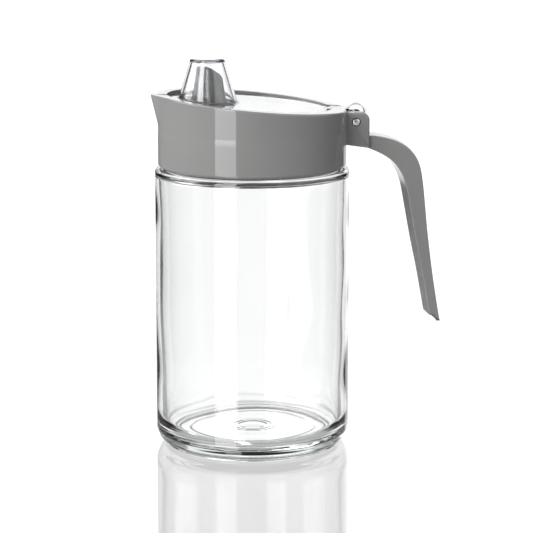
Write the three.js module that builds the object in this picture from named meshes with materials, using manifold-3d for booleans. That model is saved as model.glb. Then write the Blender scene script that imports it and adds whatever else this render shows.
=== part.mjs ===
// Oil dispenser: a clear glass jar under a grey lid with a lever handle,
// a pouring nozzle and a clear flap that swings on a steel pin.
// Millimetres, +Z up. The origin is on the jar's axis, on the surface it stands on.
// The handle points along +X and the pouring lip along -X.

import * as THREE from 'three';
import { mergeVertices } from 'three/addons/utils/BufferGeometryUtils.js';
import Module from 'manifold-3d';

const wasm = await Module();
wasm.setup();

// Jar
const jarRadius = 42.4;
const jarWall = 4.2;
const jarSegments = 60;
const footRadius = 38.4;
const footHeight = 3.1;
const heelTop = 7.2;
const grooveInner = 27.5;
const grooveOuter = 33.5;
const grooveDepth = 1.2;
const floorHeight = 6.2;
const floorRound = 4.2;
const shoulderTop = 122;
const shoulderRound = 2.6;
const neckRadius = 36.9;
const neckInner = 33.4;
const neckTop = 137;
const beadRadius = 38.3;
const beadHeight = 130.2;
const neckEdge = 0.6;          // small bevel on the foot, the bead and the mouth
const insideShoulder = { foot: 115.5, height: 6 };

// Lid
const lidRadius = 41.1;
const lidInner = 39.1;
const lidBottom = 122.9;
const lidSegments = 84;
const cavitySegments = 64;
const rimHeight = 151.3;       // of the sloped rim, above the jar's axis
const rimSlope = 0.09;         // the rim falls this much for each millimetre towards the handle
const rimRound = 1;
const creaseHeight = 139.6;
const seatHeight = 137.3;
const seatInner = 35;
const lipReach = 44.6;         // tip of the pouring lip, from the jar's axis
const lipStart = 141.2;
const recessRadius = 35.5;
const recessX = -1.25;
const recessDepth = 4;
const deckThickness = 2.2;
const chamberHeight = 8;       // space over the mouth, down from the deck
const skirtRound = 1.8;        // bottom edge of the skirt
const ridge = { bottom: 125.4, top: 128.2, reach: 1.2, bevel: 1 };
const channel = { halfWidth: 3.2, depth: 1.2, end: 2.2 };   // drip channel, ends this far from the tip

// Nozzle. Its sizes hold at one height and change by a rate for each millimetre above it.
const nozzleBase = 147;
const nozzleTop = 167.5;
const nozzleWall = 1.3;
const nozzleLevel = 150;
const nozzleRadius = { at: 6.5, rate: -0.114 };
const nozzleCentre = { at: -17.6, rate: -0.043 };
const nozzleReach = { at: 8.8, rate: -0.177 };   // from the centre to the beak

// Flap
const plateRadius = 34.4;      // its gap to the recess is wider on the hinge side, where the edge swings out
const plateX = -1.8;
const plateDrop = 1.6;         // from the rim down to the plate's top face
const plateThickness = 2;
const coneX = -19.5;
const coneBase = 151;
const coneTop = 170;
const coneRound = 1;
const coneOutside = { base: 13, top: 7.25 };   // radii
const coneInside = { base: 11.1, top: 6.1 };
const coneLid = 1.5;           // thickness of the cap's flat top

// Hinge, lugs and handle
const pinX = 44.3;
const pinZ = 142.2;
const pinRadius = 1.5;
const pinHole = 1.95;
const lugHalfWidth = 9.5;
const lugTop = 146.3;
const lugEnd = 50.3;
const lugRoot = 39;            // inside the lid's wall
const lugRound = 3.4;
const lugEdge = 0.7;
const slotHalfWidth = 5;
const slotRound = 4.9;         // from the pin's axis to the slot's front wall
const slotDepth = 5.5;         // from the pin's axis to the slot's floor
const knuckleHalfWidth = 4.6;
const knuckleRadius = 4.2;
const neckFrom = 30;           // the flap's neck runs from the plate to the knuckle
const neckTo = 42;
const knobRadius = 4.55;
const knobX = 45.8;
const knobZ = 145.4;
const handleHalfWidth = 7.6;
const handleTaper = 0.12;      // share of its width that the handle loses down to its end
const handleEnd = 52.2;
const handleStep = 2.7;        // height of the step at the handle's end
const handleRoot = 40.4;       // inside the lid's wall
const handleBend = 130;        // the handle starts to narrow below this
const pinBevel = 0.4;
const pinInset = 0.2;          // from the lugs' sides to the pin's ends

const lidMaterial = new THREE.MeshStandardMaterial({ color: 0x8e8e8d, roughness: 0.28 });
const glassMaterial = new THREE.MeshStandardMaterial({
  color: 0xe9f0ef, roughness: 0.03, transparent: true, opacity: 0.35,
});
const clearMaterial = new THREE.MeshStandardMaterial({
  color: 0xf2f4f5, roughness: 0.06, transparent: true, opacity: 0.4,
});
const steelMaterial = new THREE.MeshStandardMaterial({ color: 0xd2d2d0, roughness: 0.25, metalness: 1 });

const point = (x, y) => new THREE.Vector2(x, y);

// Height of the sloped rim plane over a place along the handle's direction.
const rimPlane = (x) => rimHeight - rimSlope * x;

// Closed three.js geometry to a solid that can be joined and cut.
function solid(geometry) {
  const bare = geometry.clone();
  bare.deleteAttribute('normal');
  bare.deleteAttribute('uv');
  const merged = mergeVertices(bare, 1e-4);
  const index = merged.index.array;
  const triangles = [];
  for (let i = 0; i < index.length; i += 3) {
    const [a, b, c] = [index[i], index[i + 1], index[i + 2]];
    if (a !== b && b !== c && c !== a) triangles.push(a, b, c);
  }
  return new wasm.Manifold(new wasm.Mesh({
    numProp: 3,
    vertProperties: new Float32Array(merged.attributes.position.array),
    triVerts: new Uint32Array(triangles),
  }));
}

function part(name, body, material) {
  const { vertProperties, triVerts } = body.getMesh();
  const geometry = new THREE.BufferGeometry();
  geometry.setAttribute('position', new THREE.BufferAttribute(new Float32Array(vertProperties), 3));
  geometry.setIndex(new THREE.BufferAttribute(new Uint32Array(triVerts), 1));
  geometry.computeVertexNormals();
  const mesh = new THREE.Mesh(geometry, material);
  mesh.name = name;
  return mesh;
}

// Points on an elliptical arc, angles in degrees.
function arc(centreX, centreY, radiusX, radiusY, from, to, steps) {
  const points = [];
  for (let i = 0; i <= steps; i++) {
    const angle = THREE.MathUtils.degToRad(from + (to - from) * i / steps);
    points.push(point(centreX + radiusX * Math.cos(angle), centreY + radiusY * Math.sin(angle)));
  }
  return points;
}

// Profile of radius and height, turned about the vertical axis at x.
function turned(profile, segments, x = 0) {
  return new THREE.LatheGeometry(profile, segments).rotateX(Math.PI / 2).translate(x, 0, 0);
}

// Outline in x and z, given thickness across y, with rounded long edges.
function across(outline, halfWidth, round = 0, steps = 2) {
  const geometry = new THREE.ExtrudeGeometry(new THREE.Shape(outline), {
    depth: 2 * (halfWidth - round),
    bevelEnabled: round > 0,
    bevelSize: round,
    bevelThickness: round,
    bevelOffset: -round,
    bevelSegments: steps,
    curveSegments: 8,
  });
  return geometry.translate(0, 0, round - halfWidth).rotateX(Math.PI / 2);
}

// Moves every corner of a geometry by a rule.
function shaped(geometry, rule) {
  const positions = geometry.attributes.position;
  const corner = new THREE.Vector3();
  for (let i = 0; i < positions.count; i++) {
    corner.fromBufferAttribute(positions, i);
    rule(corner);
    positions.setXYZ(i, corner.x, corner.y, corner.z);
  }
  return geometry;
}

// How far a circle's edge moves out towards a tip on the -X side.
function teardrop(corner, centreX, radius, reach) {
  const pointed = Math.acos(Math.min(1, radius / reach));
  const angle = Math.abs(Math.atan2(corner.y, centreX - corner.x));
  const stretch = 1 / Math.cos(Math.max(0, pointed - angle));
  corner.x = centreX + (corner.x - centreX) * stretch;
  corner.y *= stretch;
}

// Round bar across the dispenser, with its axis along y.
function crossBar(radius, halfWidth, x, z, segments = 32) {
  return new THREE.CylinderGeometry(radius, radius, 2 * halfWidth, segments).translate(x, 0, z);
}

// Disc whose two faces follow the sloped rim plane, between two depths under it.
function slopedDisc(radius, x, depthTop, depthBottom, segments = lidSegments) {
  const thickness = depthBottom - depthTop;
  const disc = new THREE.CylinderGeometry(radius, radius, thickness, segments);
  disc.rotateX(Math.PI / 2).translate(x, 0, -(depthTop + depthBottom) / 2);
  return shaped(disc, (corner) => {
    corner.z += rimPlane(corner.x);
  });
}

function glassJar() {
  const inner = jarRadius - jarWall;
  const foot = [
    point(0, 0), point(grooveInner, 0), point(grooveInner + 0.8, grooveDepth),
    point(grooveOuter - 0.8, grooveDepth), point(grooveOuter, 0),
    point(footRadius - neckEdge, 0), point(footRadius, neckEdge),
  ];
  const heel = arc(footRadius, heelTop, jarRadius - footRadius, heelTop - footHeight, -90, 0, 5);
  const shoulder = arc(jarRadius - shoulderRound, shoulderTop - shoulderRound,
    shoulderRound, shoulderRound, 0, 90, 4);
  const neck = [
    point(neckRadius + neckEdge, shoulderTop), point(neckRadius, shoulderTop + neckEdge),
    point(neckRadius, beadHeight - 1.6), point(beadRadius, beadHeight - neckEdge),
    point(beadRadius, beadHeight + neckEdge), point(neckRadius, beadHeight + 1.6),
    point(neckRadius, neckTop - neckEdge), point(neckRadius - neckEdge, neckTop),
    point(neckInner + neckEdge, neckTop), point(neckInner, neckTop - neckEdge),
  ];
  const { foot: insideFoot, height: insideRise } = insideShoulder;
  const inside = [
    ...arc(neckInner, insideFoot, inner - neckInner, insideRise, 90, 0, 4),
    ...arc(inner - floorRound, floorHeight + floorRound, floorRound, floorRound, 0, -90, 5),
    point(0, floorHeight),
  ];
  return solid(turned([...foot, ...heel, ...shoulder, ...neck, ...inside], jarSegments));
}

// Lid from outside: a round wall that swells to a lip on one side, under a sloped top.
function lidBlock() {
  const flat = rimHeight - rimRound;
  const profile = [
    point(0, lidBottom),
    ...arc(lidRadius - skirtRound, lidBottom + skirtRound, skirtRound, skirtRound, -90, 0, 3),
    point(lidRadius, creaseHeight), point(lidRadius, (creaseHeight + flat) / 2),
    ...arc(lidRadius - rimRound, flat, rimRound, rimRound, 0, 90, 3),
    point(0, rimHeight),
  ];
  return solid(shaped(turned(profile, lidSegments), (corner) => {
    const share = THREE.MathUtils.clamp((corner.z - creaseHeight) / (flat - creaseHeight), 0, 1);
    corner.z -= share * rimSlope * corner.x;
    const swell = THREE.MathUtils.clamp((corner.z - lipStart) / (rimPlane(-lipReach) - lipStart), 0, 1);
    teardrop(corner, 0, lidRadius, lidRadius + (lipReach - lidRadius) * swell);
  }));
}

// Space under the lid: the skirt's inside with one ridge, and the chamber over the neck.
function lidCavity() {
  const below = lidBottom - 2;
  const skirt = [
    point(0, below), point(lidInner, below), point(lidInner, ridge.bottom),
    point(lidInner - ridge.reach, ridge.bottom + ridge.bevel),
    point(lidInner - ridge.reach, ridge.top - ridge.bevel), point(lidInner, ridge.top),
    point(lidInner, seatHeight), point(0, seatHeight),
  ];
  const deck = recessDepth + deckThickness;
  const chamber = slopedDisc(seatInner, 0, deck, deck + chamberHeight, cavitySegments);
  const throat = new THREE.CylinderGeometry(seatInner, seatInner, 5, cavitySegments);
  throat.rotateX(Math.PI / 2).translate(0, 0, seatHeight + 2);
  return solid(turned(skirt, cavitySegments)).add(solid(chamber)).add(solid(throat));
}

// Shallow drip channel from the recess to just short of the lip's tip.
function lipChannel() {
  const { halfWidth, depth, end } = channel;
  const near = recessX - recessRadius + 1;
  const wedge = new THREE.BufferGeometry().setFromPoints([
    new THREE.Vector3(near, -halfWidth, 0), new THREE.Vector3(near, halfWidth, 0),
    new THREE.Vector3(near, 0, -depth), new THREE.Vector3(end - lipReach, 0, 0),
  ]);
  wedge.setIndex([0, 1, 3, 0, 2, 1, 1, 2, 3, 2, 0, 3]);
  return shaped(wedge, (corner) => {
    corner.z += rimPlane(corner.x) + 0.1;
  });
}

// Nozzle with a beak towards the lip. It narrows as it rises. The bore is the same form,
// smaller by the wall and longer at both ends.
function nozzleBody(wall, longer) {
  const bar = new THREE.CylinderGeometry(1, 1, nozzleTop - nozzleBase + 2 * longer, 40, 2);
  bar.rotateX(Math.PI / 2).translate(0, 0, (nozzleTop + nozzleBase) / 2);
  return shaped(bar, (corner) => {
    const rise = corner.z - nozzleLevel;
    const radius = nozzleRadius.at + nozzleRadius.rate * rise - wall;
    const centreX = nozzleCentre.at + nozzleCentre.rate * rise;
    const reach = nozzleReach.at + nozzleReach.rate * rise - 1.2 * wall;
    corner.x = centreX + corner.x * radius;
    corner.y *= radius;
    teardrop(corner, centreX, radius, reach);
  });
}

// What is cut off the nozzle, above a curve that falls from the beak.
function nozzleSlant() {
  const edge = new THREE.SplineCurve([
    point(-28, 166.9), point(-24.2, 166.5), point(-20, 165.9),
    point(-16.5, 164.6), point(-13.8, 162.4), point(-11.5, 158.6),
  ]);
  return across([...edge.getPoints(12), point(-11.5, 172), point(-28, 172)], 9);
}

// Handle and lug outlines in x and z.
function handleOutline() {
  const outer = new THREE.SplineCurve([
    point(48, 136.1), point(54, 136.1), point(62.5, 133.9), point(69.1, 129.7), point(73.2, 123.6),
    point(75.2, 114.2), point(77.3, 94.2), point(79.2, 79), point(81, 66.6), point(83.3, handleEnd),
  ]);
  const inner = new THREE.SplineCurve([
    point(78.4, handleEnd + handleStep), point(75.2, 72.2), point(71.9, 88), point(69.2, 102.5),
    point(67, 113.5), point(63.9, 120.6), point(58.9, 125.9), point(50.2, 130.3), point(42, 132),
  ]);
  const step = [point(81.6, handleEnd), point(80, handleEnd + handleStep)];
  const root = [point(handleRoot, 132), point(handleRoot, 136.1)];
  return [...outer.getPoints(22), ...step, ...inner.getPoints(20), ...root];
}

function handleArm() {
  const arm = across(handleOutline(), handleHalfWidth, 1, 2);
  return solid(shaped(arm, (corner) => {
    const down = THREE.MathUtils.clamp((handleBend - corner.z) / (handleBend - handleEnd), 0, 1);
    corner.y *= 1 - handleTaper * down;
  }));
}

function lugBlock() {
  const outline = [
    point(lugRoot, 132.2), point(lugEnd - 0.5, 130.6), point(lugEnd, 131.1),
    ...arc(lugEnd - lugRound, lugTop - lugRound, lugRound, lugRound, 0, 90, 5),
    point(lugRoot, lugTop),
  ];
  return solid(across(outline, lugHalfWidth, lugEdge, 2));
}

// Slot between the lugs in which the flap's knuckle and knob swing.
function hingeSlot() {
  const start = recessX + recessRadius - 2;
  const front = pinX - slotRound;
  const outline = [
    point(start, rimPlane(start) + 3), point(start, rimPlane(start) - recessDepth),
    point(front, rimPlane(front) - recessDepth),
    ...arc(pinX, pinZ, slotRound, slotDepth, 180, 270, 5),
    point(54, pinZ - slotDepth), point(54, 152),
  ];
  return solid(across(outline, slotHalfWidth));
}

function lid() {
  const recess = solid(slopedDisc(recessRadius, recessX, -6, recessDepth));
  const bore = solid(nozzleBody(nozzleWall, 1));
  const pinBore = solid(crossBar(pinHole, lugHalfWidth + 1, pinX, pinZ));
  return lidBlock()
    .add(lugBlock())
    .add(handleArm())
    .subtract(lidCavity())
    .subtract(recess)
    .subtract(solid(lipChannel()))
    .add(solid(nozzleBody(0, 0)).subtract(solid(nozzleSlant())))
    .subtract(bore)
    .subtract(hingeSlot())
    .subtract(pinBore);
}

// Cone over the nozzle between two heights, narrowing upwards, with its top edge rounded.
function cone(radii, bottom, top, round) {
  const slope = (radii.base - radii.top) / (coneTop - coneBase);
  const radiusAt = (z) => radii.base - slope * (z - coneBase);
  const profile = [
    point(0, bottom), point(radiusAt(bottom), bottom),
    ...arc(radiusAt(top - round) - round, top - round, round, round, 0, 90, 3),
    point(0, top),
  ];
  return turned(profile, 48, coneX);
}

// Clear barrel round the pin with a round thumb knob on it, and the neck to the plate.
function knuckle() {
  const barrel = arc(pinX, pinZ, knuckleRadius, knuckleRadius, 0, 345, 23);
  const knob = new THREE.SphereGeometry(knobRadius, 24, 14).translate(knobX, 0, knobZ);
  const plateTop = (x) => point(x, rimPlane(x) - plateDrop);
  const plateUnder = (x) => point(x, rimPlane(x) - plateDrop - plateThickness);
  const neck = [plateTop(neckFrom), plateUnder(neckFrom), plateUnder(neckTo), plateTop(neckTo)];
  return solid(across(barrel, knuckleHalfWidth, 0.6, 1))
    .add(solid(knob))
    .add(solid(across(neck, knuckleHalfWidth)));
}

function flap() {
  const plateBottom = plateDrop + plateThickness;
  const plate = slopedDisc(plateRadius, plateX, plateDrop, plateBottom);
  const outside = shaped(cone(coneOutside, coneBase - 1, coneTop, coneRound), (corner) => {
    if (corner.z < coneBase) corner.z = rimPlane(corner.x) - plateDrop - plateThickness / 2;
  });
  const pinBore = crossBar(pinHole, knuckleHalfWidth + 1, pinX, pinZ);
  return solid(plate)
    .add(solid(outside))
    .add(knuckle())
    .subtract(solid(cone(coneInside, coneBase - 5, coneTop - coneLid, 0.5)))
    .subtract(solid(pinBore));
}

function hingePin() {
  const half = lugHalfWidth - pinInset;
  const profile = [
    point(0, -half), point(pinRadius - pinBevel, -half), point(pinRadius, pinBevel - half),
    point(pinRadius, half - pinBevel), point(pinRadius - pinBevel, half), point(0, half),
  ];
  return solid(new THREE.LatheGeometry(profile, 32).translate(pinX, 0, pinZ));
}

const dispenser = new THREE.Group();
dispenser.add(
  part('glass_jar', glassJar(), glassMaterial),
  part('lid', lid(), lidMaterial),
  part('hinge_pin', hingePin(), steelMaterial),
  part('flap', flap(), clearMaterial),
);

export default dispenser;
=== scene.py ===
import math

import bmesh
import bpy
import numpy as np
from mathutils import Matrix, Vector

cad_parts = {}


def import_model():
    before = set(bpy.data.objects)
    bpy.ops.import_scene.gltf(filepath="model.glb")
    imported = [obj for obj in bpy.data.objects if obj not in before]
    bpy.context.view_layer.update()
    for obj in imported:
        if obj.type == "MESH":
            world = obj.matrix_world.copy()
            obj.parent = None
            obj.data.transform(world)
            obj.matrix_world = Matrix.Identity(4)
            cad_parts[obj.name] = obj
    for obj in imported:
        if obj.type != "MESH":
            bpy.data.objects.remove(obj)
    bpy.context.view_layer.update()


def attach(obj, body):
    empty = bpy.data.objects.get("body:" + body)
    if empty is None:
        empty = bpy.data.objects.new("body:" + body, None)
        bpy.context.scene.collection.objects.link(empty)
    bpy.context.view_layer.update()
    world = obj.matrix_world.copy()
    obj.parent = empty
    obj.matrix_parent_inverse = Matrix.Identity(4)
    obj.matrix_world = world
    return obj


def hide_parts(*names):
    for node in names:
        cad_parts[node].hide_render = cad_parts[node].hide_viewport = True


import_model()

scene = bpy.context.scene
toMetres = 0.001                     # the pieces are drawn in millimetres and scaled when finished


# Node trees

class Wire:
    # one output socket, with the arithmetic that the trees below use
    def __init__(self, bench, socket):
        self.bench = bench
        self.socket = socket

    def maths(self, operation, *values):
        return self.bench.node("ShaderNodeMath", {"operation": operation}, dict(enumerate(values)))

    def __add__(self, other):
        return self.maths("ADD", self, other)

    def __radd__(self, other):
        return self.maths("ADD", other, self)

    def __sub__(self, other):
        return self.maths("SUBTRACT", self, other)

    def __rsub__(self, other):
        return self.maths("SUBTRACT", other, self)

    def __mul__(self, other):
        return self.maths("MULTIPLY", self, other)

    def __rmul__(self, other):
        return self.maths("MULTIPLY", other, self)

    def __truediv__(self, other):
        return self.maths("DIVIDE", self, other)

    def floor(self):
        return self.maths("FLOOR", self)

    def cos(self):
        return self.maths("COSINE", self)

    def sin(self):
        return self.maths("SINE", self)

    def between(self, low, high, soft):
        # 1 from low to high and 0 outside, with soft edges
        rising = self.step(low - soft, low + soft)
        return rising * (1 - self.step(high - soft, high + soft))

    def step(self, start, end):
        settings = {"interpolation_type": "SMOOTHSTEP"}
        return self.bench.node("ShaderNodeMapRange", settings,
                               {"Value": self, "From Min": start, "From Max": end})


class Bench:
    # a node tree, and the one method that puts a node in it
    def __init__(self, tree):
        self.tree = tree

    def node(self, kind, settings=None, sockets=None, output=0):
        made = self.tree.nodes.new(kind)
        for name, value in (settings or {}).items():
            if name == "stops":
                self.setStops(made.color_ramp, value)
            else:
                setattr(made, name, value)
        for name, value in (sockets or {}).items():
            if isinstance(value, Wire):
                self.tree.links.new(value.socket, made.inputs[name])
            else:
                made.inputs[name].default_value = value
        return Wire(self, made.outputs[output]) if made.outputs else made

    def setStops(self, ramp, stops):
        while len(ramp.elements) < len(stops):
            ramp.elements.new(1)
        for element, (place, colour) in zip(ramp.elements, stops):
            element.position = place
            element.color = colour


# Meshes

def meshObject(name, mesh):
    made = bpy.data.objects.new(name, mesh)
    scene.collection.objects.link(made)
    return made


def outwards(mesh):
    # merges doubles and turns the faces of a closed mesh outwards
    work = bmesh.new()
    work.from_mesh(mesh)
    bmesh.ops.remove_doubles(work, verts=work.verts, dist=1e-5)
    bmesh.ops.recalc_face_normals(work, faces=work.faces)
    work.to_mesh(mesh)
    work.free()
    return mesh


def loft(name, rings, ends="face"):
    # skin over rings of points; the ends are closed by a face each, by strips of faces between the two
    # halves of the ring, or by joining the last ring to the first
    count = len(rings[0])
    faces = []
    for here in range(len(rings) if ends == "joined" else len(rings) - 1):
        there = (here + 1) % len(rings)
        for column in range(count):
            beside = (column + 1) % count
            faces.append((here * count + column, here * count + beside,
                          there * count + beside, there * count + column))
    for first in (0, (len(rings) - 1) * count):
        if ends == "face":
            faces.append(tuple(range(first, first + count)))
        elif ends == "strips":
            faces += [(first + i, first + i + 1, first + count - 2 - i, first + count - 1 - i)
                      for i in range(count // 2 - 1)]
    mesh = bpy.data.meshes.new(name)
    mesh.from_pydata(np.concatenate(rings).tolist(), [], faces)
    return meshObject(name, outwards(mesh))


def baked(piece):
    # the evaluated mesh as a plain one, with no modifier left
    bpy.context.view_layer.update()
    graph = bpy.context.evaluated_depsgraph_get()
    mesh = bpy.data.meshes.new_from_object(piece.evaluated_get(graph))
    piece.modifiers.clear()
    piece.data = mesh
    return piece


def combine(piece, operation, *tools):
    for tool in tools:
        modifier = piece.modifiers.new("combine", "BOOLEAN")
        modifier.operation = operation
        modifier.solver = "MANIFOLD"
        modifier.object = tool
        baked(piece)
        bpy.data.objects.remove(tool)
    return piece


def finished(piece, body, node, sharpAngle=32):
    work = bmesh.new()
    work.from_mesh(piece.data)
    bmesh.ops.triangulate(work, faces=[face for face in work.faces if len(face.verts) > 4])
    work.to_mesh(piece.data)
    work.free()
    piece.data.transform(Matrix.Scale(toMetres, 4))
    piece.data.shade_smooth()
    piece.data.set_sharp_from_angle(angle=math.radians(sharpAngle))
    weighted = piece.modifiers.new("flatFaces", "WEIGHTED_NORMAL")
    weighted.keep_sharp = True
    weighted.weight = 100
    baked(piece)
    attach(piece, body)
    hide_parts(node)
    return piece


def turns(count):
    return np.arange(count) * 2 * math.pi / count


def row(x, y, z):
    return np.stack(np.broadcast_arrays(x, y, z), axis=-1).astype(float)


def quarter(start, end, steps):
    return np.radians(np.linspace(start, end, steps + 1))


def ramped(value, start, end):
    return np.clip((value - start) / (end - start), 0, 1)


def spline(knots, count):
    # points on a smooth curve through the knots
    knots = np.array(knots, float)
    last = len(knots) - 1
    points = []
    for share in np.linspace(0, last, count):
        span = min(int(share), last - 1)
        t = share - span
        a, b, c, d = (knots[min(max(span + i, 0), last)] for i in (-1, 0, 1, 2))
        points.append(b + (c - a) * t / 2 + (2 * a - 5 * b + 4 * c - d) * t * t / 2
                      + (3 * b - a - 3 * c + d) * t ** 3 / 2)
    return np.array(points)


def inset(outline, distance, sharpest=0.3):
    # the closed outline moved inwards; it runs anticlockwise, and sharpest limits the reach of its corners
    before = outline - np.roll(outline, 1, axis=0)
    after = np.roll(outline, -1, axis=0) - outline
    normals = []
    for edge in (before, after):
        edge = edge / np.linalg.norm(edge, axis=1)[:, None]
        normals.append(np.stack([-edge[:, 1], edge[:, 0]], axis=1))
    mitre = normals[0] + normals[1]
    mitre /= np.maximum((mitre * normals[0]).sum(axis=1), sharpest)[:, None]
    return outline + mitre * distance


def across(name, outline, halfWidth, edge, steps=5, inner=3, rule=None, ends="face"):
    # outline in x and z given thickness across y, with its long edges rounded
    places = [(-halfWidth + edge * (1 - math.cos(a)), edge * (1 - math.sin(a)))
              for a in quarter(0, 90, steps)]
    places += [(y, 0) for y in np.linspace(edge - halfWidth, 0, inner + 1)[1:]]
    places += [(-y, away) for y, away in reversed(places[:-1])]
    rings = []
    for y, away in places:
        ring = inset(outline, away)
        ring = row(ring[:, 0], y, ring[:, 1])
        rings.append(rule(ring, outline) if rule else ring)
    return loft(name, rings, ends)


# Form turned about an upright axis, made by nodes from its profile

def turnedTree():
    # sockets: Geometry (profile as a chain of points), Segments, Centre X, Tilt, Material
    tree = bpy.data.node_groups.new("turnedForm", "GeometryNodeTree")
    face = tree.interface
    face.new_socket("Geometry", in_out="INPUT", socket_type="NodeSocketGeometry")
    for name, kind, value in (("Segments", "NodeSocketInt", 96), ("Centre X", "NodeSocketFloat", 0.0),
                              ("Tilt", "NodeSocketFloat", 0.0)):
        face.new_socket(name, in_out="INPUT", socket_type=kind).default_value = value
    face.new_socket("Material", in_out="INPUT", socket_type="NodeSocketMaterial")
    face.new_socket("Geometry", in_out="OUTPUT", socket_type="NodeSocketGeometry")
    bench = Bench(tree)
    given = tree.nodes.new("NodeGroupInput")
    profile, segments, centreX, tilt, finish = (Wire(bench, given.outputs[i]) for i in range(5))

    count = bench.node("GeometryNodeAttributeDomainSize", {"component": "MESH"}, {0: profile})
    grid = bench.node("GeometryNodeMeshGrid", None, {"Vertices X": segments + 1, "Vertices Y": count})
    index = bench.node("GeometryNodeInputIndex")
    column = (index / count + 1e-4).floor()
    angle = column / segments * (2 * math.pi)
    sampled = bench.node("GeometryNodeSampleIndex", {"data_type": "FLOAT_VECTOR"}, {
        "Geometry": profile, "Value": bench.node("GeometryNodeInputPosition"),
        "Index": index - column * count})
    parts = bench.node("ShaderNodeSeparateXYZ", None, {0: sampled}).socket.node.outputs
    radius, height = Wire(bench, parts[0]), Wire(bench, parts[2])
    x = radius * angle.cos() + centreX
    place = bench.node("ShaderNodeCombineXYZ", None,
                       {0: x, 1: radius * angle.sin(), 2: height - x * tilt})
    turned = bench.node("GeometryNodeSetPosition", None, {"Geometry": grid, "Position": place})
    closed = bench.node("GeometryNodeMergeByDistance", None, {"Geometry": turned, "Distance": 1e-4})
    whole = bench.node("GeometryNodeRealizeInstances", None, {0: closed})
    done = bench.node("GeometryNodeSetMaterial", None, {"Geometry": whole, "Material": finish})
    bench.node("NodeGroupOutput", None, {0: done})
    return tree


def turned(name, profile, finish, segments=128, centreX=0.0, tilt=0.0):
    # profile: (radius, height) pairs from the lower pole to the upper one
    mesh = bpy.data.meshes.new(name)
    mesh.from_pydata([(radius, 0, height) for radius, height in profile],
                     [(i, i + 1) for i in range(len(profile) - 1)], [])
    piece = meshObject(name, mesh)
    modifier = piece.modifiers.new("turnedForm", "NODES")
    modifier.node_group = turnedForm
    given = {"Segments": segments, "Centre X": centreX, "Tilt": tilt, "Material": finish}
    for item in turnedForm.interface.items_tree:
        if item.item_type == "SOCKET" and item.in_out == "INPUT" and item.name in given:
            modifier[item.identifier] = given[item.name]
    baked(piece)
    outwards(piece.data)
    return piece


# Materials

objectOutput = 3                     # the Object socket of a Texture Coordinate node


def newMaterial(name):
    made = bpy.data.materials.new(name)
    made.use_nodes = True
    made.node_tree.nodes.clear()
    return made, Bench(made.node_tree)


def surfaceNoise(bench, size, detail=3.0, seed=0.0):
    # noise with features of about that size in metres, from 0 to 1
    place = bench.node("ShaderNodeTexCoord", output=objectOutput)
    moved = bench.node("ShaderNodeMapping", None, {"Vector": place, "Location": (seed, seed, seed)})
    return bench.node("ShaderNodeTexNoise", None, {"Vector": moved, "Scale": 1 / size, "Detail": detail})


def greyPlastic(s):
    made, bench = newMaterial("greyPlastic")
    cloud = surfaceNoise(bench, s["cloudSize"], detail=4.0, seed=3.1)
    place = bench.node("ShaderNodeTexCoord", output=objectOutput)
    level = bench.node("ShaderNodeMapping", None, {"Vector": place, "Scale": s["flowStretch"]})
    flow = bench.node("ShaderNodeTexNoise", None,
                      {"Vector": level, "Scale": 1 / s["flowSize"], "Detail": 3.0})
    grain = surfaceNoise(bench, s["grainSize"], detail=2.0, seed=7.7)
    handling = surfaceNoise(bench, s["handlingSize"], detail=5.0, seed=1.3)
    stops = [(0.3, (*s["dark"], 1)), (0.7, (*s["light"], 1))]
    colour = bench.node("ShaderNodeValToRGB", {"stops": stops}, {0: cloud})
    roughness = s["roughness"] + (handling - 0.5) * s["roughnessSpread"]
    bump = bench.node("ShaderNodeBump", None,
                      {"Height": grain * s["grainShare"] + flow, "Strength": s["grainStrength"],
                       "Distance": s["grainDepth"]})
    shader = bench.node("ShaderNodeBsdfPrincipled", None, {
        "Base Color": colour, "Roughness": roughness, "Normal": bump, "IOR": s["ior"]})
    bench.node("ShaderNodeOutputMaterial", None, {0: shader})
    return made


def clearMaterial(name, s):
    made, bench = newMaterial(name)
    film = surfaceNoise(bench, s["filmSize"], detail=4.0, seed=5.2)
    waves = surfaceNoise(bench, s["waveSize"], detail=1.0, seed=9.4)
    roughness = film.step(s["filmFrom"], s["filmTo"]) * s["filmRoughness"]
    bump = bench.node("ShaderNodeBump", None,
                      {"Height": waves, "Strength": s["waveStrength"], "Distance": s["waveDepth"]})
    shader = bench.node("ShaderNodeBsdfPrincipled", None, {
        "Base Color": (*s["tint"], 1), "Roughness": roughness, "Normal": bump,
        "IOR": s["ior"], "Transmission Weight": 1.0})
    body = bench.node("ShaderNodeVolumeAbsorption", None,
                      {"Color": (*s["deepColour"], 1), "Density": s["deepDensity"]})
    bench.node("ShaderNodeOutputMaterial", None, {"Surface": shader, "Volume": body})
    return made


def pinSteel(s):
    made, bench = newMaterial("pinSteel")
    place = bench.node("ShaderNodeTexCoord", output=objectOutput)
    stretched = bench.node("ShaderNodeMapping", None, {"Vector": place, "Scale": s["stretch"]})
    brushing = bench.node("ShaderNodeTexNoise", None, {"Vector": stretched, "Scale": s["scale"]})
    bump = bench.node("ShaderNodeBump", None,
                      {"Height": brushing, "Strength": s["strength"], "Distance": s["depth"]})
    shader = bench.node("ShaderNodeBsdfPrincipled", None, {
        "Base Color": (*s["colour"], 1), "Metallic": 1.0, "Normal": bump,
        "Roughness": s["roughness"] + (brushing - 0.5) * s["roughnessSpread"]})
    bench.node("ShaderNodeOutputMaterial", None, {0: shader})
    return made


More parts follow.
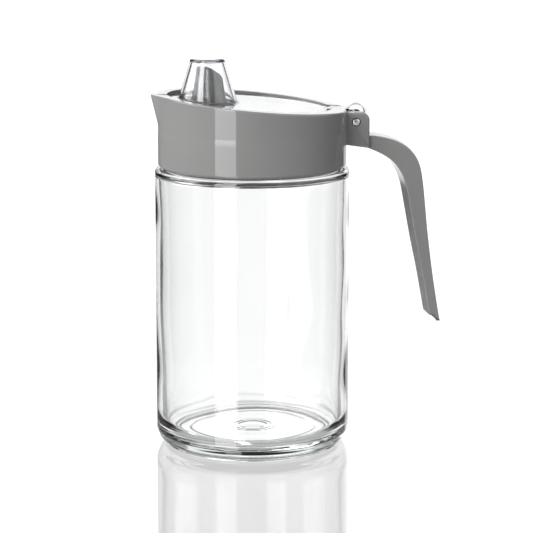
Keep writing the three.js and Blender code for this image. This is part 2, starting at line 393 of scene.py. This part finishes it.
turnedForm = turnedTree()
plastic = greyPlastic({
    "dark": (0.185, 0.185, 0.183), "light": (0.196, 0.196, 0.194), "cloudSize": 0.022,
    "roughness": 0.035, "roughnessSpread": 0.03, "handlingSize": 0.012,
    "flowSize": 0.004, "flowStretch": (0.12, 0.12, 1), "grainSize": 0.0011, "grainShare": 0.25,
    "grainStrength": 0.05, "grainDepth": 0.00003, "ior": 1.5,
})
jarGlass = clearMaterial("jarGlass", {
    "tint": (0.995, 0.997, 0.998), "ior": 1.51, "deepColour": (0.9, 0.912, 0.915), "deepDensity": 35,
    "filmSize": 0.02, "filmFrom": 0.5, "filmTo": 0.8, "filmRoughness": 0.02,
    "waveSize": 0.03, "waveStrength": 0.15, "waveDepth": 0.0001,
})
clearPlastic = clearMaterial("clearPlastic", {
    "tint": (0.99, 0.993, 0.998), "ior": 1.49, "deepColour": (0.82, 0.86, 0.94), "deepDensity": 60,
    "filmSize": 0.009, "filmFrom": 0.5, "filmTo": 0.8, "filmRoughness": 0.04,
    "waveSize": 0.012, "waveStrength": 0.2, "waveDepth": 0.00005,
})
steel = pinSteel({
    "colour": (0.9, 0.9, 0.89), "roughness": 0.34, "roughnessSpread": 0.1,
    "stretch": (1, 0.05, 1), "scale": 9000, "strength": 0.15, "depth": 0.00002,
})
print("materials ready")


# Lid

lid = {
    "segments": 320, "radius": 41.1, "skirtInner": 39.1, "bottom": 122.9, "bottomRound": 1.8,
    "rimHeight": 151.3, "rimSlope": 0.09, "creaseHeight": 139.6, "slopeEnd": 150.3,
    "rimRoundHandle": 0.9, "rimRoundLip": 0.4, "creaseDepth": 0.12, "creaseReach": 4.0,
    "lipReach": 44.5, "lipStart": 141.2, "lipEdge": 0.06,
    "recessRadius": 35.5, "recessX": -1.25, "recessDepth": 4.0, "recessEdge": 0.35, "recessFillet": 0.5,
    # the rings are radii, heights or depths of points on the surface, from one edge of it to the other
    "deck": 6.2, "deckRings": (0.5, 10, 20, 30), "seatHeight": 137.3, "seatInner": 35.0, "seatBevel": 0.3,
    "ridge": (37.9, 125.4, 128.2), "ridgeBevel": 1.0, "skirtBevel": (0.1, 0.3),
    "wallFoot": 130.0, "wallRings": (-4, -3, -2, -1, -0.3, 0, 0.25),      # from the crease
    "recessRings": (1.6, 2.4), "floorRings": (32, 28, 22, 15, 8, 0.5),
    "channelFrom": -35.7, "channelTo": -42.4, "channelDepth": 1.2, "channelHalf": 3.2,
}


def rimPlane(x):
    return lid["rimHeight"] - lid["rimSlope"] * x


def platePlane(x):
    return lid["rimHeight"] - flap["plateDrop"] - flap["plateSlope"] * x


def teardrop(x, y, centreX, radius, reach, edge=0.0):
    # a circle's edge drawn out to a tip on the -X side, with the tip's edge rounded
    pointed = np.arccos(np.minimum(1, radius / reach))
    angle = np.sqrt(np.arctan2(y, centreX - x) ** 2 + (edge * (pointed > 0)) ** 2)
    stretch = 1 / np.cos(np.maximum(0, pointed + edge * (pointed > 0) - angle))
    return centreX + (x - centreX) * stretch, y * stretch


def lidShell(s):
    angle = turns(s["segments"])
    cos, sin = np.cos(angle), np.sin(angle)
    handleSide = (1 + cos) / 2
    rounding = s["rimRoundLip"] + (s["rimRoundHandle"] - s["rimRoundLip"]) * np.sqrt(handleSide)

    def level(radius, height):
        return row(radius * cos, radius * sin, height)

    def sloped(centreX, radius, depth):
        x = centreX + radius * cos
        return row(x, radius * sin, rimPlane(x) - depth)

    def wall(height, away=0.0):
        under = ramped(height, s["creaseHeight"] - s["creaseReach"], s["creaseHeight"])
        crease = s["creaseDepth"] * under ** 2
        radius = s["radius"] - away - crease
        z = height - ramped(height, s["creaseHeight"], s["slopeEnd"]) * s["rimSlope"] * radius * cos
        swell = ramped(z, s["lipStart"], rimPlane(-s["lipReach"]))
        reach = s["radius"] + (s["lipReach"] - s["radius"]) * swell
        x, y = teardrop(radius * cos, radius * sin, 0, s["radius"], reach, s["lipEdge"])
        return row(x, y, z)

    def channelled(ring):
        share = ramped(ring[:, 0], s["channelTo"], s["channelFrom"])
        middle = np.clip(1 - np.abs(ring[:, 1]) / np.maximum(s["channelHalf"] * share, 1e-3), 0, 1)
        ring[:, 2] -= s["channelDepth"] * share * (middle * middle * (3 - 2 * middle))
        return ring

    reach, low, high = s["ridge"]
    inner, seat = s["skirtInner"], s["seatHeight"]
    rings = [sloped(0, radius, s["deck"]) for radius in (*s["deckRings"], s["seatInner"])]
    bevel = s["seatBevel"]
    rings += [level(s["seatInner"], seat), level(inner - bevel, seat), level(inner, seat - bevel)]
    bevel = s["ridgeBevel"]
    rings += [level(inner, high), level(reach, high - bevel), level(reach, low + bevel), level(inner, low)]
    outBy, upBy = s["skirtBevel"]
    rings += [level(inner, s["bottom"] + upBy), level(inner + outBy, s["bottom"])]
    curve = s["bottomRound"]
    rings += [level(s["radius"] - curve * (1 - math.sin(a)), s["bottom"] + curve * (1 - math.cos(a)))
              for a in quarter(0, 90, 6)]
    crease = s["creaseHeight"]
    rings += [wall(np.full_like(angle, height))
              for height in (s["wallFoot"], *(crease + rise for rise in s["wallRings"]))]
    for share in np.linspace(0.15, 0.9, 6):
        rings.append(wall(crease + (s["rimHeight"] - rounding - crease) * share))
    rings += [wall(s["rimHeight"] - rounding * (1 - math.sin(a)), rounding * (1 - math.cos(a)))
              for a in quarter(0, 90, 6)]
    edge = sloped(s["recessX"], s["recessRadius"] + s["recessEdge"], 0)
    outer = rings[-1]
    rings += [channelled(outer + (edge - outer) * share) for share in np.linspace(0.12, 0.88, 7)]
    rings += [channelled(sloped(s["recessX"], s["recessRadius"] + s["recessEdge"] * (1 - math.sin(a)),
                                s["recessEdge"] * (1 - math.cos(a)))) for a in quarter(0, 90, 3)]
    fillet = s["recessFillet"]
    floor = s["recessDepth"]
    rings += [sloped(s["recessX"], s["recessRadius"], depth)
              for depth in (*s["recessRings"], floor - fillet)]
    rings += [sloped(s["recessX"], s["recessRadius"] - fillet * (1 - math.cos(a)),
                     floor - fillet * (1 - math.sin(a))) for a in quarter(20, 90, 3)]
    rings += [sloped(s["recessX"], radius, floor) for radius in s["floorRings"]]
    return loft("lid", rings)


nozzle = {
    "segments": 144, "level": 150, "radius": (6.5, -0.114), "centre": (-17.6, -0.043),
    "reach": (8.8, -0.177), "wall": 1.3, "edge": 0.09, "bottom": 147.0, "rootOut": 0.4, "foot": 0.8,
    "footRings": (0.0, 0.1, 0.25, 0.45, 0.8), "tipWall": 1.2, "rimEdge": 0.3, "nearTop": 163.0,
    "holeSides": 48, "holeTip": 0.6, "holeHeights": (140, 149.5),
    "slant": [(-28, 166.9), (-24.2, 166.5), (-20, 165.9), (-16.5, 164.6), (-13.8, 162.4), (-11.5, 158.6)],
}


def nozzleTube(s):
    angle = turns(s["segments"])
    slant = spline(s["slant"], 60)

    def place(height, away):
        rise = height - s["level"]
        radius, centre, reach = (s[key][0] + s[key][1] * rise for key in ("radius", "centre", "reach"))
        radius = radius - away
        x, y = centre + radius * np.cos(angle), radius * np.sin(angle)
        return teardrop(x, y, centre, radius, reach - s["tipWall"] * away, s["edge"])

    def top(away):
        height = np.full_like(angle, s["nearTop"])
        for _ in range(12):              # the height and the place settle together
            height = np.interp(place(height, away)[0], slant[:, 0], slant[:, 1])
        return height

    def flared(above):
        # the foot's fillet, on the sloped floor of the recess
        height = np.full_like(angle, s["level"])
        away = -s["foot"] * (1 - math.sqrt(1 - (1 - above / s["foot"]) ** 2))
        for _ in range(6):
            x, y = place(height, away)
            height = rimPlane(x) - lid["recessDepth"] + above
        return row(x, y, height)

    wall = s["wall"]
    bottom = row(*place(np.full_like(angle, s["bottom"]), wall), s["bottom"])
    outside = [row(*place(np.full_like(angle, s["bottom"]), -s["rootOut"]), s["bottom"])]
    outside += [flared(above) for above in s["footRings"]]
    foot, rim = outside[-1][:, 2], top(0)
    for share in np.linspace(0.08, 1, 12)[:-1]:
        height = foot + (rim - foot) * share
        outside.append(row(*place(height, 0), height))
    edge = s["rimEdge"]
    crest = []
    for a in quarter(0, 180, 8):
        away = edge * (1 - math.cos(a)) if a <= math.pi / 2 else wall - edge * (1 + math.cos(a))
        height = top(away) - edge * (1 - math.sin(a))
        crest.append(row(*place(height, away), height))
    inside = []
    lip = crest[-1]
    for share in np.linspace(0, 1, 10)[1:-1]:
        height = lip[:, 2] + (s["bottom"] - lip[:, 2]) * share
        inside.append(row(*place(height, wall), height))
    return loft("nozzle", outside + crest + inside + [bottom], "joined")


def nozzleHole(s):
    # plug through the deck, in the middle of the nozzle's wall
    angle = turns(s["holeSides"])
    centre, radius = s["centre"][0], s["radius"][0] - s["wall"] / 2
    x, y = teardrop(centre + radius * np.cos(angle), radius * np.sin(angle), centre,
                    radius, s["reach"][0] - s["holeTip"] * s["wall"], s["edge"])
    return loft("nozzleHole", [row(x, y, height) for height in s["holeHeights"]])


hinge = {
    "pinX": 44.3, "pinZ": 142.2, "pinRadius": 1.45, "hole": 1.95, "lugHalf": 9.5, "lugTop": 146.3,
    "lugEnd": 50.3, "lugRoot": 39.5, "lugRound": 3.4, "lugEdge": 1.1, "lugMiddle": 44, "lugRootMiddle": 139,
    "lugUnder": [(39.5, 132.2), (44, 131.5), (49.4, 130.7), (50.05, 130.9), (50.3, 131.5), (50.3, 137)],
    "slotHalf": 5.0, "slotRound": 4.9, "slotDepth": 5.5, "slotEnd": 54, "slotTop": 155, "slotLap": 2,
    "slotAbove": 3, "slotFloor": 0.05,
    "knuckleHalf": 4.6, "knuckleRadius": 4.2, "knobRadius": 4.55, "knobX": 45.8, "knobZ": 145.4,
    "knobWall": 1.1, "knobSides": 64, "pinDome": 0.25, "pinPlay": 0.05, "pinShort": 0.02,
    "pinSides": 64, "pinRings": 10, "pinTip": 0.04, "mouthDepth": 1.6, "mouthLap": 0.2, "cutHalf": 12,
    "barrelEdge": 0.6, "barrelSides": 72,
}


def lugBlock(s):
    corner = s["lugRound"]
    arc = [(s["lugEnd"] - corner * (1 - math.cos(a)), s["lugTop"] - corner * (1 - math.sin(a)))
           for a in quarter(0, 90, 10)]
    outline = np.array([*s["lugUnder"], *arc, (s["lugMiddle"], s["lugTop"]),
                        (s["lugRoot"], s["lugTop"]), (s["lugRoot"], s["lugRootMiddle"])])
    rooted = outline[:, 0] <= s["lugRoot"]

    def keepRoot(ring, outline):
        ring[rooted, 0] = outline[rooted, 0]
        return ring
    return across("lug", outline, s["lugHalf"], s["lugEdge"], rule=keepRoot)


def hingeSlot(s):
    start = lid["recessX"] + lid["recessRadius"] - s["slotLap"]
    front = s["pinX"] - s["slotRound"]
    arc = [(s["pinX"] + s["slotRound"] * math.cos(a), s["pinZ"] + s["slotDepth"] * math.sin(a))
           for a in quarter(180, 270, 8)]
    deep = lid["recessDepth"]
    outline = np.array([(start, rimPlane(start) + s["slotAbove"]),
                        (start, rimPlane(start) - deep + s["slotFloor"]),
                        (front, rimPlane(front) - deep), *arc,
                        (s["slotEnd"], s["pinZ"] - s["slotDepth"]), (s["slotEnd"], s["slotTop"])])
    return across("slot", outline, s["slotHalf"], 0.02, steps=1, inner=1)


def crossBar(name, radius, halfWidth, x, z, edge=0.02, sides=48):
    outline = np.array([(x + radius * math.cos(a), z + radius * math.sin(a)) for a in turns(sides)])
    return across(name, outline, halfWidth, edge, steps=3 if edge > 0.1 else 1, inner=1)


def pinHoles(s):
    # the bore through the lugs, and its wide mouths
    mouths = crossBar("mouths", s["hole"], s["cutHalf"], s["pinX"], s["pinZ"])
    depth = s["lugHalf"] - s["mouthDepth"]
    between = crossBar("between", s["hole"] + s["mouthLap"], depth, s["pinX"], s["pinZ"])
    combine(mouths, "DIFFERENCE", between)
    return mouths, crossBar("lugBore", s["pinRadius"] + s["pinPlay"], s["cutHalf"] - 1, s["pinX"], s["pinZ"])


def domedPin(s):
    # round bar through both lugs, with shallow domes for ends
    around = turns(s["pinSides"])
    end = s["lugHalf"] - s["pinShort"]
    places = [(share, s["pinDome"] * share ** 2 - end)
              for share in np.linspace(s["pinTip"], 1, s["pinRings"])]
    places += [(share, -y) for share, y in reversed(places)]
    rings = []
    for share, y in places:
        radius = s["pinRadius"] * share
        rings.append(row(s["pinX"] + radius * np.cos(around), y, s["pinZ"] + radius * np.sin(around)))
    return loft("pin", rings)


handle = {
    "halfWidth": 7.6, "taper": 0.12, "bend": 130.0, "end": 52.2, "step": 2.7, "stepX": (81.6, 80.0),
    "edge": 0.45, "crown": 0.6, "crownSpread": 0.3, "points": 72,
    "outer": [(43, 136.1), (48, 136.1), (54, 136.1), (62.5, 133.9), (69.1, 129.7), (73.2, 123.6),
              (75.2, 114.2), (77.3, 94.2), (79.2, 79), (81, 66.6), (83.3, 52.2)],
    "inner": [(78.4, 54.9), (75.2, 72.2), (71.9, 88), (69.2, 102.5), (67, 113.5), (63.9, 120.6),
              (58.9, 125.9), (50.2, 130.3), (43, 131.8)],
}


def handleArm(s):
    outer = spline(s["outer"], s["points"])
    inner = spline(s["inner"], s["points"])
    low, high = s["stepX"]
    step = np.array([(low, s["end"]), (high, s["end"] + s["step"])])
    outline = np.concatenate([outer, step, inner])[::-1]
    crowned = np.zeros(len(outline))
    crowned[-len(outer):] = np.sin(np.linspace(0, math.pi, len(outer))) ** s["crownSpread"]
    toOutside = outline - inset(outline, 1)

    def shape(ring, outline):
        hump = crowned * s["crown"] * (1 - (ring[:, 1] / s["halfWidth"]) ** 2)
        ring[:, 0] += toOutside[:, 0] * (hump - s["crown"] * crowned)
        ring[:, 2] += toOutside[:, 1] * (hump - s["crown"] * crowned)
        down = ramped(-ring[:, 2], -s["bend"], -s["end"])
        ring[:, 1] *= 1 - s["taper"] * down
        return ring
    return across("handle", outline, s["halfWidth"], s["edge"], inner=6, rule=shape, ends="strips")


shell = lidShell(lid)
combine(shell, "DIFFERENCE", nozzleHole(nozzle))
combine(shell, "UNION", lugBlock(hinge), handleArm(handle), nozzleTube(nozzle))
combine(shell, "DIFFERENCE", hingeSlot(hinge), *pinHoles(hinge))
shell.data.materials.clear()
shell.data.materials.append(plastic)
shell.name = "lidMoulding"
finished(shell, "jug", "lid")
print("lid moulded:", len(shell.data.polygons), "faces")


# Jar

jar = {
    "segments": 256, "radius": 42.4, "footRadius": 38.4,
    "heel": [(38.4, 0.9), (38.9, 1.35), (40.4, 2.3), (41.15, 3.3), (41.7, 4.6), (42.15, 5.8), (42.4, 7.2)],
    "edge": 0.6, "groove": (27.5, 33.5, 1.2), "grooveSoft": 0.15, "grooveBevel": (0.7, 1.2, 0.4),
    "footRings": (12, 24), "floorHeight": 6.2, "floorRound": 4.6, "floorRings": (28, 14),
    "mark": [(3.2, 0), (3.6, 0.15), (3.9, 0)],
    "ripples": (5.5, 11.0, 2.2, 0.05),      # from, to, length and depth
    "inside": [(38.2, 14), (38.5, 28), (39.2, 45), (39.5, 70), (39.7, 95), (39.9, 112), (39.9, 118.4)],
    "insideShoulder": 2.4, "insideNeck": (0.8, 121.3, 1.2),
    "shoulderTop": 122.3, "shoulderRound": 1.7, "neckRadius": 36.9, "neckFillet": 2.0, "neckInner": 33.4,
    "neckTop": 137.0, "beadRadius": 38.3, "beadHeight": 130.2, "beadHalf": 1.6,
    # each wave: depth, length, turns round the jar and start
    "waves": [(0.07, 61, 2, 1.0), (0.05, 37, -3, 0.4), (0.04, 97, 5, 2.2)],
    "wavesFrom": 18, "wavesTo": 114, "wavesSoft": 10,
}


def ringGroove(s):
    inner, outer, deep = s["groove"]
    soft = s["grooveSoft"]
    near, far, beside = s["grooveBevel"]
    half = [(-beside, 0), (0, soft), (near, deep - soft), (far, deep)]
    return [(inner + x, z) for x, z in half] + [(outer - x, z) for x, z in reversed(half)]


def glassJar(s):
    edge = s["edge"]
    profile = [(0, 0), *s["mark"], *((radius, 0) for radius in s["footRings"]), *ringGroove(s)]
    profile += [(s["footRadius"] - edge * (1 - math.sin(a)), edge * (1 - math.cos(a)))
                for a in quarter(0, 90, 4)]
    profile += [tuple(point) for point in spline(s["heel"], 26)]
    heelTop = s["heel"][-1][1]
    profile += [(s["radius"], height) for height in np.linspace(heelTop, s["shoulderTop"] - 3, 26)[1:]]
    curve = s["shoulderRound"]
    profile += [(s["radius"] - curve * (1 - math.cos(a)), s["shoulderTop"] - curve * (1 - math.sin(a)))
                for a in quarter(0, 90, 8)]
    neck, bead, beadAt = s["neckRadius"], s["beadRadius"], s["beadHeight"]
    fillet = s["neckFillet"]
    profile += [(neck + fillet * (1 - math.sin(a)), s["shoulderTop"] + fillet * (1 - math.cos(a)))
                for a in quarter(0, 90, 6)]
    beadHalf = s["beadHalf"]
    profile += [(neck, beadAt - beadHalf), (bead, beadAt - edge), (bead, beadAt + edge),
                (neck, beadAt + beadHalf), (neck, s["neckTop"] - edge), (neck - edge, s["neckTop"]),
                (s["neckInner"] + edge, s["neckTop"]), (s["neckInner"], s["neckTop"] - edge)]
    curve = s["insideShoulder"]
    top, topHeight = s["inside"][-1]
    step, turnIn, rise = s["insideNeck"]
    profile += [(s["neckInner"], turnIn + rise), (s["neckInner"] + step, turnIn)]
    profile += [(top - curve * (1 - math.sin(a)), topHeight + curve * math.cos(a))
                for a in quarter(5, 90, 8)]
    profile += [tuple(point) for point in spline(s["inside"], 48)[::-1][1:]]
    low, lowHeight = s["inside"][0]
    curve, drop = s["floorRound"], lowHeight - s["floorHeight"]
    profile += [(low - curve * (1 - math.cos(a)), s["floorHeight"] + drop * (1 - math.sin(a)))
                for a in quarter(0, 90, 10)[1:]]
    start, end, length, depth = s["ripples"]
    profile += [(radius, s["floorHeight"]) for radius in s["floorRings"]]
    profile += [(radius, s["floorHeight"] + depth * math.sin(2 * math.pi * radius / length))
                for radius in np.linspace(end, start, 30)]
    profile += [(2, s["floorHeight"]), (0, s["floorHeight"])]
    return uneven(turned("jar", profile, jarGlass, s["segments"]), s)


def uneven(piece, s):
    # the slow waves that the mould and the plunger leave in the inside of the wall
    points = np.empty(len(piece.data.vertices) * 3)
    piece.data.vertices.foreach_get("co", points)
    points = points.reshape(-1, 3)
    x, y, height = points.T
    radius, angle = np.hypot(x, y), np.arctan2(y, x)
    low, high, soft = s["wavesFrom"], s["wavesTo"], s["wavesSoft"]
    share = ramped(height, low, low + soft) * ramped(height, high, high - soft)
    share *= (radius > s["neckInner"]) & (radius < s["radius"] - 1)
    wave = sum(size * np.sin(2 * math.pi * height / length + count * angle + start)
               for size, length, count, start in s["waves"])
    points[:, :2] *= (1 + share * wave / np.maximum(radius, 1))[:, None]
    piece.data.vertices.foreach_set("co", points.ravel())
    return piece


jarPiece = glassJar(jar)
jarPiece.name = "jarGlassBody"
finished(jarPiece, "jug", "glass_jar")
print("jar turned:", len(jarPiece.data.polygons), "faces")


# Flap, and the pin it swings on

flap = {
    "plateRadius": 34.4, "plateX": -1.8, "plateDrop": 1.0, "plateThickness": 2.0, "plateEdge": 0.4,
    "plateSlope": 0.079,
    "coneX": -19.5, "coneBase": 151.0, "coneTop": 170.0, "coneRound": 1.1,
    "outside": (13.0, 7.25), "inside": (11.6, 5.9), "insideTop": 168.5, "insideRound": 0.6,
    "foot": 0.9, "footRings": (-1.0, 0.0, 0.12, 0.3, 0.55), "cutFrom": 146, "crownRing": 2.5,
    "plateRings": (12, 24), "neck": (30.0, 42.0), "neckRise": (33.4, 35.4), "neckDrop": 0.15,
    "neckEdge": 0.25, "segments": 144,
}


def flapPlate(s):
    top, thick, edge = s["plateDrop"], s["plateThickness"], s["plateEdge"]
    full = s["plateRadius"]
    low, high = lid["rimHeight"] - top - thick, lid["rimHeight"] - top
    middle = (0, *s["plateRings"])
    profile = [(radius, low) for radius in middle]
    profile += [(full - edge * (1 - math.sin(a)), low + edge * (1 - math.cos(a)))
                for a in quarter(0, 90, 4)]
    profile += [(full - edge * (1 - math.cos(a)), high - edge * (1 - math.sin(a)))
                for a in quarter(0, 90, 4)]
    profile += [(radius, high) for radius in reversed(middle)]
    return turned("plate", profile, clearPlastic, s["segments"], s["plateX"], s["plateSlope"])


def flapCone(s, radii, top, rounding, foot=0.0):
    # with a foot it stands on the plate, and without one it cuts through it
    base, crown = radii
    slope = (base - crown) / (s["coneTop"] - s["coneBase"])
    angle = turns(s["segments"])

    def ring(height, more=0.0):
        radius = base - slope * (height - s["coneBase"]) + more
        return row(s["coneX"] + radius * np.cos(angle), radius * np.sin(angle), height)

    def onPlate(above):
        more = foot * (1 - math.sqrt(max(0, 1 - (1 - max(above, 0) / foot) ** 2)))
        height = np.full_like(angle, s["coneBase"])
        for _ in range(6):
            height = platePlane(ring(height, more)[:, 0]) + above
        return ring(height, more)

    if foot:
        rings = [onPlate(above) for above in (*s["footRings"], foot)]
    else:
        rings = [ring(np.full_like(angle, s["cutFrom"]))]
    shoulder = top - rounding
    below = rings[-1][:, 2]
    rings += [ring(below + (shoulder - below) * share) for share in np.linspace(0, 1, 9)[1:-1]]
    atShoulder = base - slope * (shoulder - s["coneBase"])
    for a in quarter(0, 90, 5):
        radius = atShoulder - rounding * (1 - math.cos(a))
        rings.append(row(s["coneX"] + radius * np.cos(angle), radius * np.sin(angle),
                         shoulder + rounding * math.sin(a)))
    radius = s["crownRing"]
    rings.append(row(s["coneX"] + radius * np.cos(angle), radius * np.sin(angle), top))
    return loft("cone", rings)


def flapNeck(s, h):
    start, end = s["neck"]
    riseFrom, riseTo = s["neckRise"]
    thick, drop = s["plateThickness"], s["neckDrop"]
    outline = np.array([(start, platePlane(start) - thick), (end, platePlane(end) - thick),
                        (end, rimPlane(end) - drop), (riseTo, rimPlane(riseTo) - drop),
                        (riseFrom, platePlane(riseFrom)), (start, platePlane(start))])
    return across("neck", outline, h["knuckleHalf"], s["neckEdge"], steps=2, inner=1)


def thumbKnob(h, wall=0.0):
    radius = h["knobRadius"] - wall
    profile = [(radius * math.cos(a), h["knobZ"] + radius * math.sin(a)) for a in quarter(-90, 90, 32)]
    profile[0] = (0, profile[0][1])
    profile[-1] = (0, profile[-1][1])
    return turned("knob", profile, clearPlastic, h["knobSides"], h["knobX"])


clear = flapPlate(flap)
combine(clear, "UNION", flapCone(flap, flap["outside"], flap["coneTop"], flap["coneRound"], flap["foot"]))
combine(clear, "DIFFERENCE", flapCone(flap, flap["inside"], flap["insideTop"], flap["insideRound"]))
barrel = crossBar("barrel", hinge["knuckleRadius"], hinge["knuckleHalf"], hinge["pinX"], hinge["pinZ"],
                  hinge["barrelEdge"], hinge["barrelSides"])
combine(clear, "UNION", flapNeck(flap, hinge), barrel, thumbKnob(hinge))
combine(clear, "DIFFERENCE", crossBar("bore", hinge["hole"], hinge["cutHalf"], hinge["pinX"], hinge["pinZ"]),
        thumbKnob(hinge, hinge["knobWall"]))      # the knob is hollow, and open to the bore
clear.data.materials.clear()
clear.data.materials.append(clearPlastic)
clear.name = "clearFlap"
finished(clear, "flap", "flap")

pin = domedPin(hinge)
pin.name = "hingePin"
pin.data.materials.append(steel)
finished(pin, "jug", "hinge_pin")
print("flap and pin made:", len(clear.data.polygons), "faces")


# Studio

studio = {
    "cameraTurn": -9.0, "cameraPlace": (-0.1581, -1.03805, 0.28573), "cameraPitch": 11.19, "lens": 164.66,
    "dark": 0.07, "table": 0.45, "tableFade": (-0.36, -0.18), "seen": 1.05,
    # each softbox: from and to round the object, soft edge, rise from and to, and light below and above it
    "softboxes": [(-45, -19, 0.4, -0.13, -0.05, 4.0, 7.5), (-112, -72, 2, -0.05, 0.0, 0.0, 5.5),
                  (36, 110, 1, -0.05, 0.0, 0.0, 1.3)],
    "sheet": 1.14, "sheetGlow": (1.4, 3.7, 0.15), "sheetGlowMore": 0.07, "sheetRise": (0.0, 0.3),
    "sheetMore": 1.0, "sheetSides": (-14, 31, 2), "sheetThrough": (-31, 34, 2), "sheetTop": (0.34, 0.5),
    "sheetFoot": (-0.6, -0.42),
    "upper": 0.5, "upperSides": (-75, 75, 8), "upperHeights": (0.25, 0.9, 0.08),
    "fill": 0.5, "fillLeft": (-150, -10, 30), "fillLeftMore": 0.3,
    "floorLight": 0.6, "floorIor": 1.45, "floorRoughness": 0.02, "floorRadius": 3, "floorSides": 96,
    "floorDrop": 0.0002, "keyPlace": (-1.3, -0.9, 1.1), "keyAim": (0, 0, 0.1), "keySize": (0.9, 0.9),
    "keyPower": 14,
}


def camera(s):
    data = bpy.data.cameras.new("camera")
    data.lens = s["lens"]
    data.sensor_width = 36
    data.clip_start = 0.01
    made = bpy.data.objects.new("camera", data)
    made.location = s["cameraPlace"]
    made.rotation_euler = (math.radians(90 - s["cameraPitch"]), 0, math.radians(s["cameraTurn"]))
    scene.collection.objects.link(made)
    scene.camera = made


def world(s):
    made = bpy.data.worlds.new("studio")
    made.use_nodes = True
    made.node_tree.nodes.clear()
    scene.world = made
    bench = Bench(made.node_tree)
    place = bench.node("ShaderNodeTexCoord")
    turn = bench.node("ShaderNodeVectorRotate", {"rotation_type": "Z_AXIS"},
                      {"Vector": place, "Angle": math.radians(-s["cameraTurn"])})
    parts = bench.node("ShaderNodeSeparateXYZ", None, {0: turn}).socket.node.outputs
    right, back, up = (Wire(bench, part) for part in parts)
    # angles in degrees, positive to the camera's right: round from the camera, and round from behind
    around = right.maths("ARCTAN2", right, back * -1) * (180 / math.pi)
    behind = right.maths("ARCTAN2", right, back) * (180 / math.pi)

    radiance = s["dark"] + (1 - up.step(*s["tableFade"])) * s["table"]
    for low, high, softness, start, end, dim, bright in s["softboxes"]:
        glow = dim + up.step(start, end) * (bright - dim)
        radiance = radiance + around.between(low, high, softness) * glow
    lightPath = bench.node("ShaderNodeLightPath").socket.node.outputs
    toCamera, toDiffuse, through = (Wire(bench, lightPath[name]) for name in (
        "Is Camera Ray", "Is Diffuse Ray", "Is Transmission Ray"))
    sheet = s["sheet"] + behind.between(*s["sheetGlow"]) * s["sheetGlowMore"]
    sheet = sheet + up.step(*s["sheetRise"]) * (1 - through) * s["sheetMore"]
    sides = behind.between(*s["sheetSides"])
    wider = behind.between(*s["sheetThrough"])
    shown = (sides + (wider - sides) * through) * up.step(*s["sheetFoot"])
    shown = shown * (1 - up.step(*s["sheetTop"]))
    radiance = radiance * (1 - shown) + sheet * shown
    above = behind.between(*s["upperSides"]) * up.between(*s["upperHeights"]) * (1 - shown)
    radiance = radiance * (1 - above) + above * s["upper"]

    diffuse = s["fill"] + around.between(*s["fillLeft"]) * s["fillLeftMore"]
    radiance = radiance * (1 - toDiffuse) + diffuse * toDiffuse
    radiance = radiance * (1 - toCamera) + toCamera * s["seen"]
    shader = bench.node("ShaderNodeBackground", None, {"Color": (1, 1, 1, 1), "Strength": radiance})
    bench.node("ShaderNodeOutputWorld", None, {0: shader})


def softbox(name, place, aim, size, power):
    data = bpy.data.lights.new(name, "AREA")
    data.shape = "RECTANGLE"
    data.size, data.size_y = size
    data.energy = power
    made = bpy.data.objects.new(name, data)
    made.location = place
    made.rotation_euler = (Vector(aim) - Vector(place)).to_track_quat("-Z", "Y").to_euler()
    made.visible_glossy = False
    made.visible_transmission = False
    made.visible_camera = False
    scene.collection.objects.link(made)


def floor(s):
    mesh = bpy.data.meshes.new("floor")
    radius, sides = s["floorRadius"], s["floorSides"]
    rim = [(radius * math.cos(a), radius * math.sin(a), -s["floorDrop"]) for a in turns(sides)]
    mesh.from_pydata(rim, [], [tuple(range(sides))])
    made = meshObject("floor", mesh)
    finish, bench = newMaterial("floorGloss")
    shader = bench.node("ShaderNodeBsdfPrincipled", None, {
        "Base Color": (0, 0, 0, 1), "Roughness": s["floorRoughness"], "IOR": s["floorIor"],
        "Emission Color": (1, 1, 1, 1), "Emission Strength": s["floorLight"]})
    bench.node("ShaderNodeOutputMaterial", None, {0: shader})
    mesh.materials.append(finish)
    made.visible_glossy = False
    made.visible_transmission = False


camera(studio)
world(studio)
softbox("keyLight", studio["keyPlace"], studio["keyAim"], studio["keySize"], studio["keyPower"])
floor(studio)
scene.view_settings.view_transform = "Standard"
scene.view_settings.look = "None"
print("studio set")
